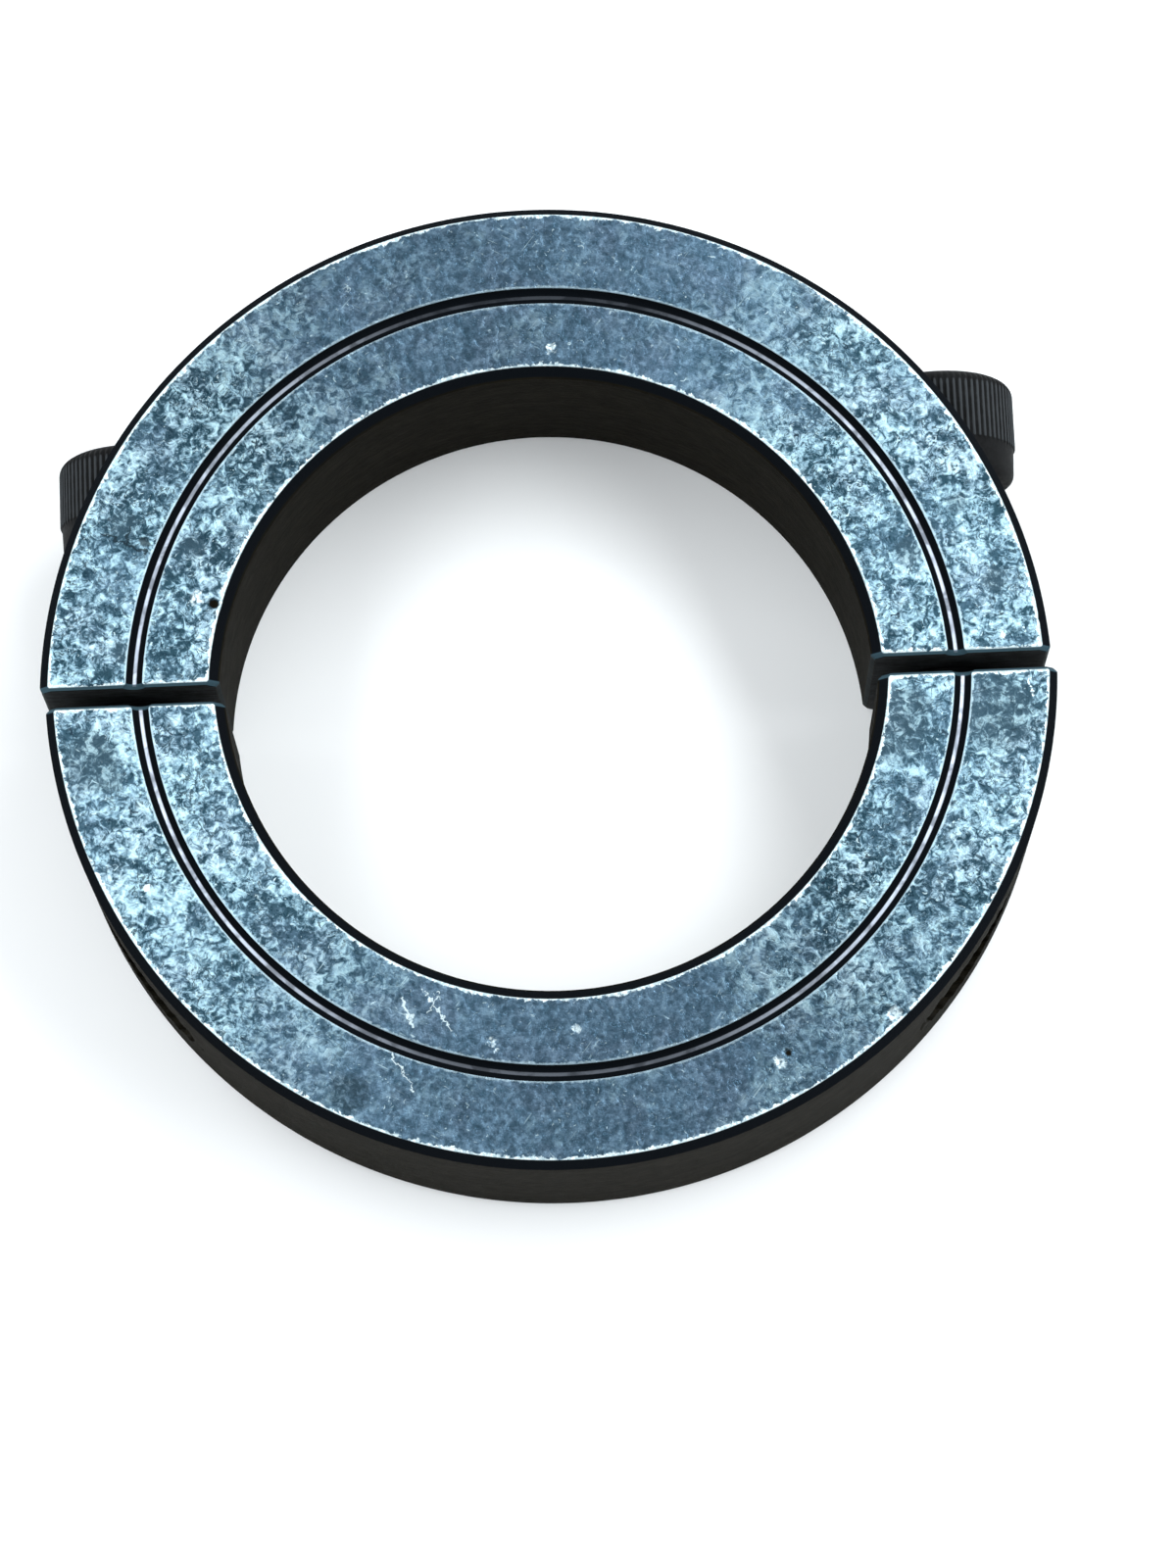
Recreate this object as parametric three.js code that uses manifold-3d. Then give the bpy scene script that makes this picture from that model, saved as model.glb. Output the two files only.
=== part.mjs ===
// Two-piece clamp shaft collar: a ring sawn into two halves that two socket head
// cap screws draw together round a shaft. Millimetres. +Z runs along the bore, +Y from
// the tapped half to the half that carries the screw heads, +X along the split.
// The origin is under the middle of the collar, on the plain face that it lies on.

import * as THREE from 'three';
import { mergeVertices } from 'three/addons/utils/BufferGeometryUtils.js';
import Module from 'manifold-3d';

const wasm = await Module();
wasm.setup();

const INCH = 25.4;

// Ring
const BORE_RADIUS = (1.9375 * INCH) / 2;
const OUTER_RADIUS = (3.0 * INCH) / 2;
const WIDTH = 0.6875 * INCH;
const BORE_CHAMFER = 0.86;
const OUTER_CHAMFER = 0.73;
const RING_SEGMENTS = 96;

// Round-bottomed groove in the top face
const GROOVE_PITCH_RADIUS = 30.97;
const GROOVE_HALF_WIDTH = 0.62;
const GROOVE_STEPS = 6;

// Split: the saw takes SAW_CUT out of the ring, and the screws have since drawn the
// halves to SPLIT_GAP. The halves sit a little out of line along the split.
const SAW_CUT = 3.0;
const SPLIT_GAP = 1.24;
const SIDE_OFFSET = 0.42;
const EDGE_BREAK = 0.35;

// Socket head cap screw, 5/16-24 UNF, 1 inch long
const THREAD_PITCH = INCH / 24;
const MAJOR_RADIUS = (0.3125 * INCH) / 2;
const MINOR_RADIUS = MAJOR_RADIUS - 0.6134 * THREAD_PITCH;
const SHANK_LENGTH = INCH;
const PLAIN_SHANK = 2.6;
const HEAD_RADIUS = (0.469 * INCH) / 2;
const HEAD_HEIGHT = 0.3125 * INCH;
const HEAD_ROUNDING = 1.2;
const HEAD_UNDER_BREAK = 0.35;
const SOCKET_ACROSS_FLATS = 0.25 * INCH;
const SOCKET_DEPTH = 4.3;
const SOCKET_MOUTH = 0.3;
const SOCKET_CONE = 1.2;
const TIP_TAPER = 0.15;
const NECK_OVERLAP = 0.4;
const HEAD_ROUNDING_STEPS = 4;

// Where the screws go
const SCREW_OFFSET = 31.0;
const SEAT_FROM_CENTRE = 13.7;
const SEAT_CLEARANCE = 0.05;
const RIGHT_SCREW_TURNS_OUT = 3;
const COUNTERBORE_RADIUS = 6.6;
const CLEARANCE_HOLE_RADIUS = 4.17;
const THREAD_CLEARANCE = 0.12;
const TAP_COUNTERSINK = 0.5;
const THREAD_SEGMENTS = 16;
const THREAD_LEVELS = 2;
const HOLE_SEGMENTS = 32;

// How far cutters go past the face they open, and past the whole collar
const MARGIN = 1;
const REACH = OUTER_RADIUS + 10;

// Centres of the two half rings, and the plane that the screw heads bear on
const HALF_SHIFT = (SAW_CUT - SPLIT_GAP) / 2;
const CLEARANCE_CENTRE = new THREE.Vector2(-SIDE_OFFSET / 2, -HALF_SHIFT);
const TAPPED_CENTRE = new THREE.Vector2(SIDE_OFFSET / 2, HALF_SHIFT);
const SEAT_Y = CLEARANCE_CENTRE.y + SEAT_FROM_CENTRE;
const LEFT_X = CLEARANCE_CENTRE.x - SCREW_OFFSET;
const RIGHT_X = CLEARANCE_CENTRE.x + SCREW_OFFSET;

// Booleans

function solidFrom(geometry) {
  const bare = geometry.clone();
  bare.deleteAttribute('normal');
  bare.deleteAttribute('uv');
  const merged = mergeVertices(bare, 1e-4);
  const mesh = new wasm.Mesh({
    numProp: 3,
    vertProperties: new Float32Array(merged.attributes.position.array),
    triVerts: new Uint32Array(merged.index.array),
  });
  return new wasm.Manifold(mesh);
}

function geometryFrom(solid) {
  const { vertProperties, triVerts } = solid.getMesh();
  const geometry = new THREE.BufferGeometry();
  geometry.setAttribute('position', new THREE.BufferAttribute(vertProperties, 3));
  geometry.setIndex(new THREE.BufferAttribute(triVerts, 1));
  geometry.computeVertexNormals();
  return geometry;
}

// A solid of revolution about +Z from [radius, height] pairs listed in order round
// the section, lowest outer point first.
function turned(profile, segments) {
  const points = profile.map(([radius, height]) => new THREE.Vector2(radius, height));
  const geometry = new THREE.LatheGeometry(points, segments);
  geometry.rotateX(Math.PI / 2);
  return geometry;
}

// Lays a solid made about +Z along +Y, with its origin at (x, y) at mid width.
function alongY(geometry, x, y) {
  return geometry.clone().rotateX(-Math.PI / 2).translate(x, y, WIDTH / 2);
}

function cylinderAlongY(radius, x, from, to, segments) {
  const profile = [[0, from], [radius, from], [radius, to], [0, to]];
  return solidFrom(alongY(turned(profile, segments), x, 0));
}

// Ring halves

function grooveArc() {
  const points = [];
  for (let step = 0; step <= GROOVE_STEPS; step += 1) {
    const angle = (Math.PI * step) / GROOVE_STEPS;
    const radius = GROOVE_PITCH_RADIUS + GROOVE_HALF_WIDTH * Math.cos(angle);
    points.push([radius, WIDTH - GROOVE_HALF_WIDTH * Math.sin(angle)]);
  }
  return points;
}

function ringSection() {
  const start = [BORE_RADIUS + BORE_CHAMFER, 0];
  return [
    start,
    [OUTER_RADIUS - OUTER_CHAMFER, 0],
    [OUTER_RADIUS, OUTER_CHAMFER],
    [OUTER_RADIUS, WIDTH - OUTER_CHAMFER],
    [OUTER_RADIUS - OUTER_CHAMFER, WIDTH],
    ...grooveArc(),
    [BORE_RADIUS + BORE_CHAMFER, WIDTH],
    [BORE_RADIUS, WIDTH - BORE_CHAMFER],
    [BORE_RADIUS, BORE_CHAMFER],
    start,
  ];
}

// The space that one half fills: everything past the split plane, with the two long
// corners of the split face broken.
function halfSpace(direction) {
  const flat = (direction * SPLIT_GAP) / 2;
  const back = direction * REACH;
  const broken = flat + direction * EDGE_BREAK;
  const outline = new THREE.Shape([
    new THREE.Vector2(flat, EDGE_BREAK),
    new THREE.Vector2(broken, 0),
    new THREE.Vector2(broken, -MARGIN),
    new THREE.Vector2(back, -MARGIN),
    new THREE.Vector2(back, WIDTH + MARGIN),
    new THREE.Vector2(broken, WIDTH + MARGIN),
    new THREE.Vector2(broken, WIDTH),
    new THREE.Vector2(flat, WIDTH - EDGE_BREAK),
  ]);
  const geometry = new THREE.ExtrudeGeometry(outline, { depth: 2 * REACH, bevelEnabled: false });
  geometry.translate(0, 0, -REACH);
  geometry.applyMatrix4(new THREE.Matrix4().set(0, 0, 1, 0, 1, 0, 0, 0, 0, 1, 0, 0, 0, 0, 0, 1));
  return solidFrom(geometry);
}

function halfRing(centre, direction) {
  const ring = turned(ringSection(), RING_SEGMENTS);
  ring.translate(centre.x, centre.y, 0);
  return solidFrom(ring).intersect(halfSpace(direction));
}

// Right-hand helical thread about +Z that covers at least the span from bottom to top,
// in step with every other helix about the same axis. Each column of the grid starts a
// little higher than the one before, one pitch per turn, and the last column joins the
// first one a whole pitch up.
function helixSolid(minorRadius, majorRadius, bottom, top) {
  const start = (Math.floor(bottom / THREAD_PITCH) - 1) * THREAD_PITCH;
  const rows = THREAD_LEVELS * (Math.ceil((top - start) / THREAD_PITCH) + 1);
  const positions = [];
  for (let column = 0; column < THREAD_SEGMENTS; column += 1) {
    const angle = (2 * Math.PI * column) / THREAD_SEGMENTS;
    for (let row = 0; row <= rows; row += 1) {
      const radius = row % THREAD_LEVELS === 0 ? minorRadius : majorRadius;
      const pitches = row / THREAD_LEVELS + column / THREAD_SEGMENTS;
      positions.push(radius * Math.cos(angle), radius * Math.sin(angle));
      positions.push(start + pitches * THREAD_PITCH);
    }
  }
  const lowCentre = positions.length / 3;
  const highCentre = lowCentre + 1;
  positions.push(0, 0, start + THREAD_PITCH / 2);
  positions.push(0, 0, start + (rows / THREAD_LEVELS) * THREAD_PITCH);

  const at = (column, row) => (column === THREAD_SEGMENTS
    ? row + THREAD_LEVELS
    : column * (rows + 1) + row);
  const faces = [];
  for (let column = 0; column < THREAD_SEGMENTS; column += 1) {
    const height = column === THREAD_SEGMENTS - 1 ? rows - THREAD_LEVELS : rows;
    for (let row = 0; row < height; row += 1) {
      const corner = at(column, row);
      const opposite = at(column + 1, row + 1);
      faces.push(corner, at(column + 1, row), opposite);
      faces.push(corner, opposite, at(column, row + 1));
    }
  }
  const lowRim = [];
  const highRim = [];
  for (let column = 0; column < THREAD_SEGMENTS; column += 1) {
    lowRim.push(at(column, 0));
    highRim.push(at(column, rows));
  }
  for (let step = 0; step < THREAD_LEVELS; step += 1) {
    lowRim.push(at(0, THREAD_LEVELS - step));
    highRim.push(at(THREAD_SEGMENTS - 1, rows - 1 - step));
  }
  lowRim.forEach((vertex, index) => {
    faces.push(lowCentre, lowRim[(index + 1) % lowRim.length], vertex);
  });
  highRim.forEach((vertex, index) => {
    faces.push(highCentre, vertex, highRim[(index + 1) % highRim.length]);
  });
  const geometry = new THREE.BufferGeometry();
  geometry.setAttribute('position', new THREE.Float32BufferAttribute(positions, 3));
  geometry.setIndex(faces);
  return geometry;
}

// Socket head cap screw about +Z: the head stands on z = 0 and the shank hangs below.

function headProfile() {
  const shoulder = HEAD_HEIGHT - HEAD_ROUNDING;
  const profile = [
    [0, 0],
    [HEAD_RADIUS - HEAD_UNDER_BREAK, 0],
    [HEAD_RADIUS, HEAD_UNDER_BREAK],
  ];
  for (let step = 0; step <= HEAD_ROUNDING_STEPS; step += 1) {
    const angle = (Math.PI / 2) * (step / HEAD_ROUNDING_STEPS);
    const radius = HEAD_RADIUS - HEAD_ROUNDING * (1 - Math.cos(angle));
    profile.push([radius, shoulder + HEAD_ROUNDING * Math.sin(angle)]);
  }
  profile.push([0, HEAD_HEIGHT]);
  return profile;
}

function socketCutter() {
  const corner = SOCKET_ACROSS_FLATS / Math.sqrt(3);
  const floor = HEAD_HEIGHT - SOCKET_DEPTH;
  const above = HEAD_HEIGHT + MARGIN;
  const prism = turned([[0, floor], [corner, floor], [corner, above], [0, above]], 6);
  prism.rotateZ(Math.PI / 6);
  const drillRadius = SOCKET_ACROSS_FLATS / 2;
  const cone = turned([
    [0, floor - SOCKET_CONE],
    [drillRadius, floor],
    [0, floor + MARGIN],
  ], HOLE_SEGMENTS);
  const mouth = turned([
    [0, HEAD_HEIGHT - SOCKET_MOUTH],
    [corner, HEAD_HEIGHT - SOCKET_MOUTH],
    [corner + SOCKET_MOUTH + MARGIN, above],
    [0, above],
  ], HOLE_SEGMENTS);
  return solidFrom(prism).add(solidFrom(cone)).add(solidFrom(mouth));
}

function threadedShank() {
  const tip = -SHANK_LENGTH;
  const tipRadius = MINOR_RADIUS - TIP_TAPER;
  const outside = MAJOR_RADIUS + MARGIN;
  const joint = -PLAIN_SHANK + NECK_OVERLAP;
  const envelope = turned([
    [0, tip],
    [tipRadius, tip],
    [outside, tip + outside - tipRadius],
    [outside, joint],
    [0, joint],
  ], HOLE_SEGMENTS);
  const thread = helixSolid(MINOR_RADIUS, MAJOR_RADIUS, tip, joint);
  return solidFrom(thread).intersect(solidFrom(envelope));
}

function screwGeometry() {
  const head = solidFrom(turned(headProfile(), HOLE_SEGMENTS)).subtract(socketCutter());
  const shankTop = HEAD_HEIGHT - SOCKET_DEPTH - SOCKET_CONE - MARGIN;
  const neck = turned([
    [0, -PLAIN_SHANK],
    [MAJOR_RADIUS, -PLAIN_SHANK],
    [MAJOR_RADIUS, shankTop],
    [0, shankTop],
  ], HOLE_SEGMENTS);
  return geometryFrom(head.add(solidFrom(neck)).add(threadedShank()));
}

// Holes in the halves

function screwPassage(x) {
  const hole = cylinderAlongY(CLEARANCE_HOLE_RADIUS, x, -MARGIN, SEAT_Y + MARGIN, HOLE_SEGMENTS);
  const seat = cylinderAlongY(COUNTERBORE_RADIUS, x, SEAT_Y, REACH, HOLE_SEGMENTS);
  return hole.add(seat);
}

function tappedHole(x) {
  const thread = helixSolid(
    MINOR_RADIUS + THREAD_CLEARANCE,
    MAJOR_RADIUS + THREAD_CLEARANCE,
    -REACH,
    THREAD_PITCH,
  );
  const seated = alongY(thread, x, SEAT_Y + SEAT_CLEARANCE);
  const mouth = -SPLIT_GAP / 2;
  const countersink = turned([
    [0, mouth - MAJOR_RADIUS - TAP_COUNTERSINK],
    [MAJOR_RADIUS + TAP_COUNTERSINK, mouth],
    [MAJOR_RADIUS + TAP_COUNTERSINK, mouth + MARGIN],
    [0, mouth + MARGIN],
  ], HOLE_SEGMENTS);
  return solidFrom(seated).add(solidFrom(alongY(countersink, x, 0)));
}

function clearanceHalfGeometry() {
  const half = halfRing(CLEARANCE_CENTRE, 1);
  return geometryFrom(half.subtract(screwPassage(LEFT_X)).subtract(screwPassage(RIGHT_X)));
}

function tappedHalfGeometry() {
  const half = halfRing(TAPPED_CENTRE, -1);
  return geometryFrom(half.subtract(tappedHole(LEFT_X)).subtract(tappedHole(RIGHT_X)));
}

// Assembly

const blackOxide = () => new THREE.MeshStandardMaterial({
  color: 0x4a5258,
  roughness: 0.5,
  metalness: 0.85,
});

const screwSteel = () => new THREE.MeshStandardMaterial({
  color: 0x1d1f20,
  roughness: 0.55,
  metalness: 0.8,
});

function piece(name, geometry, material) {
  const mesh = new THREE.Mesh(geometry, material);
  mesh.name = name;
  return mesh;
}

function screw(name, x, turnsOut) {
  const mesh = piece(name, screwGeometry(), screwSteel());
  const height = SEAT_Y + SEAT_CLEARANCE + turnsOut * THREAD_PITCH;
  mesh.rotation.x = -Math.PI / 2;
  mesh.position.set(x, height, WIDTH / 2);
  return mesh;
}

const collar = new THREE.Group();
collar.name = 'shaft_collar';
collar.add(piece('clearance_half', clearanceHalfGeometry(), blackOxide()));
collar.add(piece('tapped_half', tappedHalfGeometry(), blackOxide()));
collar.add(screw('left_screw', LEFT_X, 0));
collar.add(screw('right_screw', RIGHT_X, RIGHT_SCREW_TURNS_OUT));

export default collar;
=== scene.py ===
"""Blender model of a two-piece clamp shaft collar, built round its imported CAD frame.

The frame has +Z along the bore, +X along the split and +Y towards the half that
carries the screw heads. Constants and profiles are in millimetres, and Blender
objects in metres.
"""

import math

import bmesh
import bpy
import numpy as np
from mathutils import Matrix, Vector


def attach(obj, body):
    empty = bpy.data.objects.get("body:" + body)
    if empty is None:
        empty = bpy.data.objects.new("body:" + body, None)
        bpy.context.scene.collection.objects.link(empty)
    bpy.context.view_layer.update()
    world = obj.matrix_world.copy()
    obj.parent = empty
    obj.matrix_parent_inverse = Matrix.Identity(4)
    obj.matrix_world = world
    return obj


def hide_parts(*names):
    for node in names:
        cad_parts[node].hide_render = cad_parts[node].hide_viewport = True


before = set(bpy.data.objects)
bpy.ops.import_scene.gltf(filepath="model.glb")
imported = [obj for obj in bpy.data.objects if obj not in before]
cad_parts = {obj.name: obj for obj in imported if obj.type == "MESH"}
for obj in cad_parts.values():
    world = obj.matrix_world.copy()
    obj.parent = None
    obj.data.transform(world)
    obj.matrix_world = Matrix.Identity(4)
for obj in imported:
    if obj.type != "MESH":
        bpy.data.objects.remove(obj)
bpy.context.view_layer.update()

MM = 0.001
INCH = 25.4

# Ring
BORE_RADIUS = 1.9375 * INCH / 2
OUTER_RADIUS = 3.0 * INCH / 2
WIDTH = 0.6875 * INCH
BORE_CHAMFER = 0.86
OUTER_CHAMFER = 0.73
GROOVE_RADIUS = 30.97
GROOVE_HALF_WIDTH = 0.62
EDGE_BREAK = 0.33

# Split and how the halves lie
SAW_CUT = 3.0
SPLIT_GAP = 1.24
SIDE_OFFSET = 0.42
HALF_SHIFT = (SAW_CUT - SPLIT_GAP) / 2

# Screws
PITCH = INCH / 24
MAJOR_RADIUS = 0.3125 * INCH / 2
MINOR_RADIUS = MAJOR_RADIUS - 0.6134 * PITCH
SHANK_LENGTH = INCH
THREAD_START = 2.3
NECK_LENGTH = 3.2
TIP_TAPER = 0.2
CREST_EASE = 0.03
HEAD_HEIGHT = 0.3125 * INCH
HEAD_ROUNDING = 1.2
BARREL_RADIUS = 5.84
KNURL_START = 2.66
KNURL_DEPTH = 0.13
SOCKET_ACROSS_FLATS = 0.25 * INCH
SOCKET_DEPTH = 4.3
SOCKET_BREAK = 0.42
SOCKET_CONE = 1.1
SCREW_OFFSET = 31.0
SEAT_FROM_CENTRE = 13.7
SEAT_CLEARANCE = 0.05
RIGHT_SCREW_TURNS_OUT = 3
COUNTERBORE_RADIUS = 6.6
CLEARANCE_HOLE_RADIUS = 4.17
THREAD_CLEARANCE = 0.09
HOLE_BREAK = 0.45
SEAT_BREAK = 0.25
SEAT_FILLET = 0.4
CUTTER_OVERRUN = 5
SEAT_Y = SEAT_FROM_CENTRE - HALF_SHIFT
SCREW_XS = {"left": -SIDE_OFFSET / 2 - SCREW_OFFSET, "right": -SIDE_OFFSET / 2 + SCREW_OFFSET}

# Dents in the top face: x, y, radius, depth, and whether their metal is bare
DENTS = [
    (1.30, 25.90, 0.42, 0.08, True),
    (15.98, -29.98, 0.50, 0.08, True),
    (16.62, -29.30, 0.36, 0.20, False),
    (1.00, -26.84, 0.34, 0.06, True),
    (-5.28, -27.52, 0.34, 0.06, True),
    (-5.00, -28.15, 0.26, 0.05, True),
    (24.60, -26.75, 0.60, 0.08, True),
    (-24.96, 6.86, 0.44, 0.40, False),
    (-26.20, 7.35, 0.55, 0.03, True),
    (-30.00, 11.90, 0.45, 0.05, False),
    (34.20, 1.95, 0.32, 0.06, True),
    (37.05, 3.10, 0.34, 0.06, True),
    (5.30, -23.75, 0.50, 0.06, True),
    (-30.60, -14.90, 0.34, 0.05, True),
]

# Dark stains on the top face: x, y, radius
STAINS = [
    (25.5, -4.6, 3.4),
    (33.5, -4.0, 3.6),
    (-34.5, -5.0, 2.6),
    (-34.4, -4.0, 1.7),
    (-33.2, -6.4, 1.2),
    (27.0, -3.5, 1.9),
    (33.9, 6.2, 1.1),
    (31.4, 12.4, 0.9),
    (27.5, 8.7, 1.2),
    (-31.9, 3.4, 0.9),
    (-31.6, 13.3, 1.3),
    (-26.4, 11.3, 1.1),
    (-15.9, -31.0, 1.7),
]

# Scratches in the top face: both ends, half width, and whether their metal is bare
SCRATCHES = [
    (-33.18, 12.66, -31.50, 11.80, 0.12, False),
    (-31.50, 11.80, -29.88, 11.05, 0.14, False),
    (-31.50, 11.80, -31.10, 13.00, 0.10, False),
    (-10.20, -23.40, -8.20, -26.50, 0.08, True),
    (-11.90, -23.90, -11.00, -26.10, 0.16, True),
    (-13.00, -27.60, -11.10, -31.00, 0.07, True),
    (-9.10, -23.60, -9.90, -25.20, 0.07, True),
    (15.55, -29.75, 16.35, -30.05, 0.14, True),
    (36.00, -1.50, 36.30, -2.90, 0.10, True),
]

# The metal pushed up round a dent: its height as a share of the dent's depth, and its
# place and width as shares of the dent's radius
LIP_SHARE = 0.12
LIP_PLACE = 1.2
LIP_WIDTH = 0.3

# How far below the top face a point can be and still be pressed by a dent
DENT_REACH = 0.35

# Least rounding of the top face's rims and of the other corners, and of any corner once
# the section is shrunk
RIM_ROUNDING = 0.06
CORNER_ROUNDING = 0.07
LEAST_ROUNDING = 0.012

# One turn of the thread: how far up the pitch each edge is, and whether it is a crest
THREAD_PROFILE = [(0.16, False), (0.44, True), (0.56, True), (0.84, False)]

# Mesh fineness
ARC_COLUMNS = 480
GROOVE_STEPS = 14
FILLET_STEPS = 4
HEAD_COLUMNS = 600
KNURL_TEETH = 75
THREAD_COLUMNS = 72
HOLE_COLUMNS = 128


# --- Meshes ---------------------------------------------------------------------------

def mesh_object(name, points, faces):
    """A closed mesh from points in millimetres, with its faces turned outward."""
    mesh = bpy.data.meshes.new(name)
    mesh.from_pydata((np.asarray(points) * MM).tolist(), [], faces)
    tidy = bmesh.new()
    tidy.from_mesh(mesh)
    bmesh.ops.remove_doubles(tidy, verts=tidy.verts, dist=1e-7)
    bmesh.ops.recalc_face_normals(tidy, faces=tidy.faces)
    tidy.to_mesh(mesh)
    tidy.free()
    piece = bpy.data.objects.new(name, mesh)
    bpy.context.scene.collection.objects.link(piece)
    return piece


def boolean(piece, cutters, operation):
    """Applies one exact boolean for each cutter and deletes the cutters."""
    for cutter in cutters:
        modifier = piece.modifiers.new("cut", "BOOLEAN")
        modifier.operation = operation
        modifier.solver = "EXACT"
        modifier.object = cutter
    graph = bpy.context.evaluated_depsgraph_get()
    result = bpy.data.meshes.new_from_object(piece.evaluated_get(graph))
    piece.modifiers.clear()
    old = piece.data
    piece.data = result
    bpy.data.meshes.remove(old)
    for cutter in cutters:
        bpy.data.objects.remove(cutter)


def shade(piece, angle=32):
    piece.data.shade_smooth()
    piece.data.set_sharp_from_angle(angle=math.radians(angle))


def level_ring(radius, height, angles):
    """Points round +Y at one height."""
    heights = np.full(len(angles), height)
    return np.stack([radius * np.cos(angles), heights, radius * np.sin(angles)], 1)


def turned(name, profile, columns, centre):
    """A solid of revolution about +Y through centre from (radius, height) pairs that
    start and end on the axis."""
    angles = 2 * np.pi * np.arange(columns) / columns
    rings = []
    for radius, height in profile[1:-1]:
        rings.append(level_ring(radius, height, angles))
    low = [0, profile[0][1], 0]
    high = [0, profile[-1][1], 0]
    points = np.concatenate([*rings, [low], [high]]) + np.asarray(centre)
    faces = ring_faces(len(rings), columns)
    low_index = len(rings) * columns
    for column in range(columns):
        after = (column + 1) % columns
        faces.append((low_index, after, column))
        top = (len(rings) - 1) * columns
        faces.append((low_index + 1, top + column, top + after))
    return mesh_object(name, points, faces)


def ring_faces(rings, columns):
    """Quads between rings of vertices that follow each other."""
    faces = []
    for ring in range(rings - 1):
        start = ring * columns
        for column in range(columns):
            after = (column + 1) % columns
            low = start + column, start + after
            high = start + columns + after, start + columns + column
            faces.append((*low, *high))
    return faces


# --- Half rings -----------------------------------------------------------------------

def wander(rng, count, grain, low, high):
    """A smooth random run of count values between low and high, one bump per grain."""
    knots = rng.random(int(count / grain) + 4)
    at = np.arange(count) / grain + 1
    left = at.astype(int)
    blend = at - left
    blend = blend * blend * (3 - 2 * blend)
    return low + (high - low) * (knots[left] * (1 - blend) + knots[left + 1] * blend)


def section(inset, rim_outer, rim_inner, fillet):
    """Rows of (radius, height) for the ring's section, shrunk by inset all round.

    Every argument is an array with one value per column. rim_outer and rim_inner are
    the roundings of the top face's rims, and fillet that of every other corner."""
    shrunk = (2 - math.sqrt(2)) * inset
    outer, bore = OUTER_RADIUS - inset, BORE_RADIUS + inset
    top, bottom = WIDTH - inset, inset
    cut_outer, cut_bore = OUTER_CHAMFER - shrunk, BORE_CHAMFER - shrunk
    reach = GROOVE_HALF_WIDTH + inset
    lip = np.sqrt(reach ** 2 - inset ** 2)
    small = np.maximum(fillet - inset, LEAST_ROUNDING)
    top_outer = np.maximum(rim_outer - inset, LEAST_ROUNDING)
    top_inner = np.maximum(rim_inner - inset, LEAST_ROUNDING)

    # Corners of the section: radius, height, rounding, and the number of rows between
    # the corner before and this one. The groove lies between its two lips.
    outer_lip, inner_lip = 5, 6
    corners = [
        (bore + cut_bore, bottom, small, 10),
        (outer - cut_outer, bottom, small, 14),
        (outer, bottom + cut_outer, small, 3),
        (outer, top - cut_outer, small, 10),
        (outer - cut_outer, top, top_outer, 3),
        (GROOVE_RADIUS + lip, top, 0.6 * small, 26),
        (GROOVE_RADIUS - lip, top, 0.6 * small, 1),
        (bore + cut_bore, top, top_inner, 22),
        (bore, top - cut_bore, small, 3),
        (bore, bottom + cut_bore, small, 10),
    ]
    # The groove's arc meets the face at right angles, so each lip is rounded between
    # the face and a line straight down.
    straight_down = (np.zeros_like(lip), np.full_like(lip, -1))
    rounded = []
    for index, (radius, height, rounding, _) in enumerate(corners):
        before = corners[index - 1]
        after = corners[(index + 1) % len(corners)]
        to_before = (before[0] - radius, before[1] - height)
        to_after = (after[0] - radius, after[1] - height)
        if index == outer_lip:
            to_after = straight_down
        if index == inner_lip:
            to_before = straight_down
        rounded.append(rounded_corner(radius, height, to_before, to_after, rounding))
    rows = []
    for index, arc in enumerate(rounded):
        start, end = rounded[index - 1][-1], arc[0]
        if index == inner_lip:
            rows += groove_rows(start, end, inset)
        else:
            rows += straight_rows(start, end, corners[index][3])
        rows += arc
    return np.array([[r, z] for r, z in rows])


def rounded_corner(radius, height, to_before, to_after, rounding):
    """Points that round a corner, from the side before to the side after."""
    before = np.array(np.broadcast_arrays(*to_before))
    after = np.array(np.broadcast_arrays(*to_after))
    before = before / np.linalg.norm(before, axis=0)
    after = after / np.linalg.norm(after, axis=0)
    half = np.arccos(np.clip((before * after).sum(0), -1, 1)) / 2
    tangent = rounding / np.tan(half)
    corner = np.array([radius + 0 * rounding, height + 0 * rounding])
    start = corner + before * tangent
    end = corner + after * tangent
    points = []
    for step in range(FILLET_STEPS + 1):
        # A quadratic curve from one tangent point to the other is close to the arc.
        share = step / FILLET_STEPS
        rest = 1 - share
        point = rest ** 2 * start + 2 * share * rest * corner + share ** 2 * end
        points.append((point[0], point[1]))
    return points


def straight_rows(start, end, count):
    """Rows that cut the straight side from start to end into count parts."""
    rows = []
    for step in range(1, count):
        share = step / count
        radius = start[0] + (end[0] - start[0]) * share
        height = start[1] + (end[1] - start[1]) * share
        rows.append((radius, height))
    return rows


def groove_rows(start, end, inset):
    """Rows along the groove's round bottom, between the ends of its two lips."""
    reach = GROOVE_HALF_WIDTH + inset
    first = np.arctan2(WIDTH - start[1], start[0] - GROOVE_RADIUS)
    last = np.arctan2(WIDTH - end[1], end[0] - GROOVE_RADIUS)
    rows = []
    for step in range(1, GROOVE_STEPS):
        angle = first + (last - first) * step / GROOVE_STEPS
        rows.append((GROOVE_RADIUS + reach * np.cos(angle), WIDTH - reach * np.sin(angle)))
    return rows


# Distance from the split face, and how far the section is shrunk there as a share of
# EDGE_BREAK, so that the break round the split face has slightly rounded corners.
BREAK_STEPS = [
    (0.0, 1.05),
    (0.010, 1.0),
    (0.035, 0.9),
    (0.27, 0.21),
    (0.32, 0.09),
    (0.37, 0.03),
    (0.44, 0.008),
    (0.52, 0.0),
]


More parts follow.
